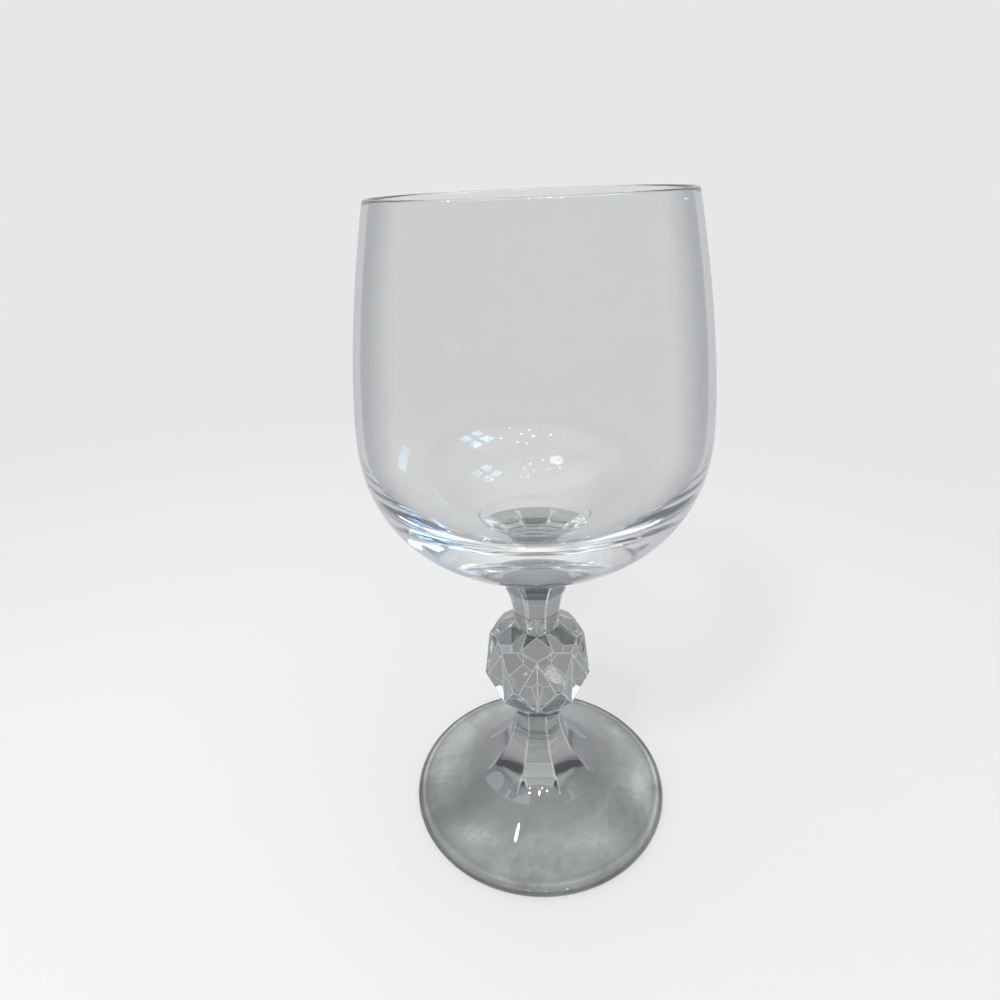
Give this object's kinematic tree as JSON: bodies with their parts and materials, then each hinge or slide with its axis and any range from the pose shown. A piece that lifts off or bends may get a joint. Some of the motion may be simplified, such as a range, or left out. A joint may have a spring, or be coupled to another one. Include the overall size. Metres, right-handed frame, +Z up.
{
  "type": "wine goblet",
  "caption": "Stemmed wine glass of clear glass: a plain rounded bowl, a flat-sided stem with a faceted ball, and a round foot to stand on.",
  "frame": {"origin": "on the table, under the middle of the foot", "axes": "+Z up along the stem to the open rim; -Y is the side that the picture shows"},
  "size_m": [0.073, 0.073, 0.15],
  "materials": {
    "bowl_glass": "clear blown glass, fire polished",
    "stem_glass": "clear glass, cut and polished",
    "foot_glass": "clear pressed glass, fire polished"
  },
  "bodies": {
    "root": {"bowl": "bowl_glass", "stem": "stem_glass", "foot": "foot_glass"}
  },
  "joints": []
}
